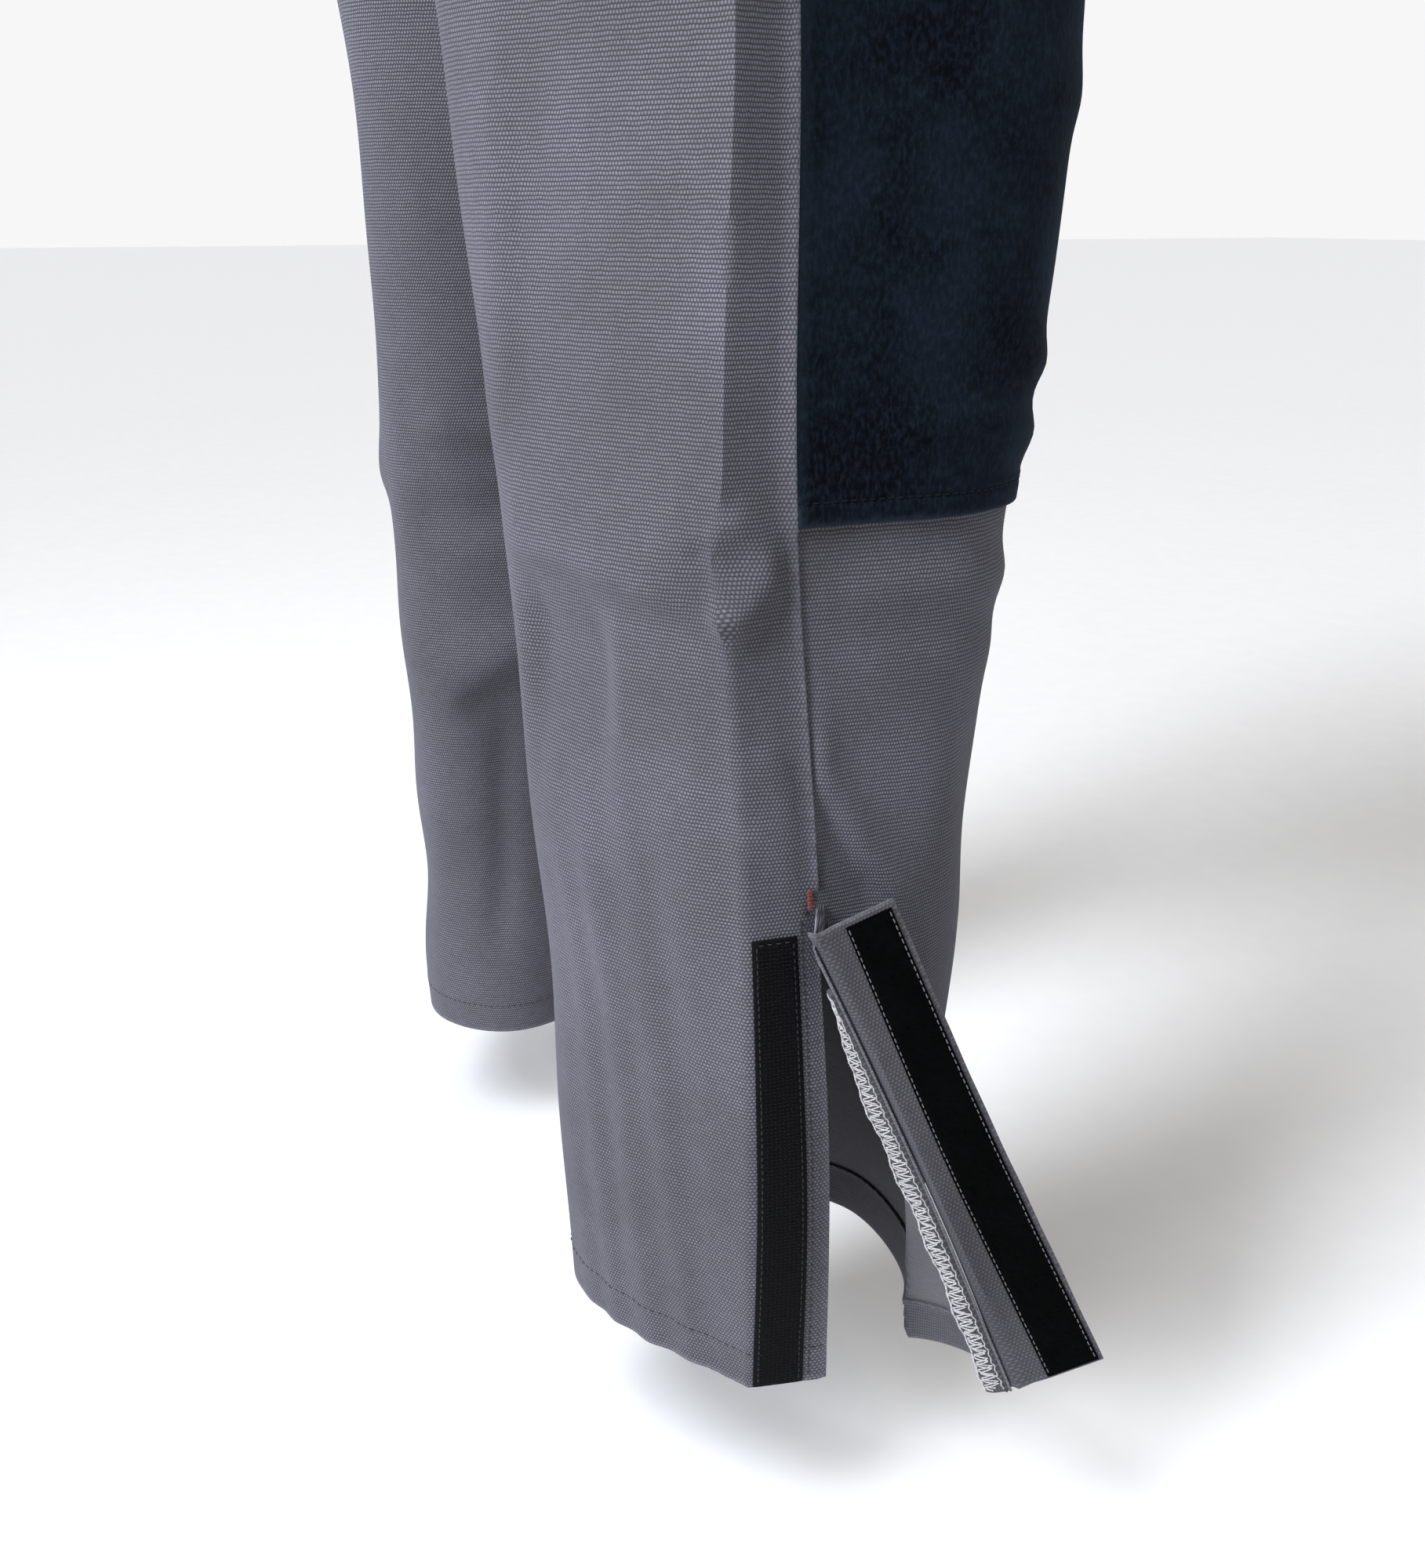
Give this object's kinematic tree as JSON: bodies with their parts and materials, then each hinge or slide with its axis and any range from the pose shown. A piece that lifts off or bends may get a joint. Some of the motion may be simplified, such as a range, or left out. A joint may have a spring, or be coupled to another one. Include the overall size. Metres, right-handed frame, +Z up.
{
  "type": "chainsaw chaps",
  "caption": "Full-wrap grey canvas leg chaps with black suede over thigh and knee, hook-and-loop ankle slits, a hip yoke and a webbing belt with a cam buckle.",
  "frame": {"origin": "middle of the waist opening, at the middle height of the belt, which is where the wearer's waist holds the chaps up", "axes": "+Z up, the front of the garment faces -Y, the wearer's right is -X"},
  "size_m": [0.5842, 0.2794, 1.0266],
  "materials": {
    "canvas": "heavy plain-woven cotton canvas, matt",
    "canvas_inside": "brushed inner face of the canvas",
    "suede": "split cowhide, short nap, matt",
    "saw_pad": "layered knitted cut-resistant fibre",
    "lining": "thin woven polyester",
    "hook_tape": "woven tape with fine plastic hooks",
    "loop_tape": "woven tape with a soft loop pile",
    "seam_thread": "overlocked seam edge, pale thread",
    "tack_thread": "close bar tack",
    "webbing": "polypropylene webbing",
    "steel": "nickel-plated pressed steel"
  },
  "bodies": {
    "chaps": {"right_front_panel": "canvas", "right_back_panel": "canvas", "right_suede_panel": "suede", "right_saw_pad": "saw_pad", "right_lining": "lining", "right_hem_front": "canvas_inside", "right_hem_back": "canvas_inside", "right_hook_tape": "hook_tape", "right_bar_tack": "tack_thread", "right_yoke_canvas": "canvas", "right_yoke_suede": "suede", "right_waistband": "canvas_inside", "right_front_keeper": "suede", "right_side_keeper": "suede", "right_rear_keeper": "suede", "right_lower_rivet": "steel", "right_upper_rivet": "steel", "left_front_panel": "canvas", "left_back_panel": "canvas", "left_suede_panel": "suede", "left_saw_pad": "saw_pad", "left_lining": "lining", "left_hem_front": "canvas_inside", "left_hem_back": "canvas_inside", "left_hook_tape": "hook_tape", "left_bar_tack": "tack_thread", "left_yoke_canvas": "canvas", "left_yoke_suede": "suede", "left_waistband": "canvas_inside", "left_front_keeper": "suede", "left_side_keeper": "suede", "left_rear_keeper": "suede", "left_lower_rivet": "steel", "left_upper_rivet": "steel", "belt_right": "webbing", "belt_left": "webbing", "buckle_body": "steel", "buckle_pin": "steel", "front_patch": "suede"},
    "right_corner_body": {"right_ankle_corner": "canvas", "right_corner_hem": "canvas_inside", "right_overlock_seam": "seam_thread"},
    "right_flap_body": {"right_flap": "canvas", "right_loop_tape": "loop_tape"},
    "left_corner_body": {"left_ankle_corner": "canvas", "left_corner_hem": "canvas_inside", "left_overlock_seam": "seam_thread"},
    "left_flap_body": {"left_flap": "canvas", "left_loop_tape": "loop_tape"},
    "cam_lever_body": {"cam_lever": "steel"},
    "belt_tail_body": {"belt_tail": "webbing"}
  },
  "joints": [
    {"name": "right_ankle_swing", "type": "hinge", "parent": "chaps", "child": "right_corner_body", "pos_m": [-0.26111, -0.00734, -0.74486], "axis": [0.081, -0.2766, -0.9576], "range_deg": [-10, 80]},
    {"name": "right_flap_fold", "type": "hinge", "parent": "right_corner_body", "child": "right_flap_body", "pos_m": [-0.30964, -0.0788, -0.96893], "axis": [0.1881, 0.3471, 0.9188], "range_deg": [-92, 28]},
    {"name": "left_ankle_swing", "type": "hinge", "parent": "chaps", "child": "left_corner_body", "pos_m": [0.26111, -0.00734, -0.74486], "axis": [-0.081, -0.2766, -0.9576], "range_deg": [0, 90]},
    {"name": "left_flap_fold", "type": "hinge", "parent": "left_corner_body", "child": "left_flap_body", "pos_m": [0.26048, -0.00877, -0.985], "axis": [-0.0455, 0.0292, 0.9985], "range_deg": [-120, 0]},
    {"name": "cam_lever_turn", "type": "hinge", "parent": "chaps", "child": "cam_lever_body", "pos_m": [0.008, 0.12495, 0], "axis": [0, 0, -1], "range_deg": [0, 75], "stiffness_Nm_per_rad": 0.02},
    {"name": "belt_tail_slide", "type": "slide", "parent": "chaps", "child": "belt_tail_body", "axis": [-1, 0, 0], "range_m": [-0.02, 0.04]}
  ]
}
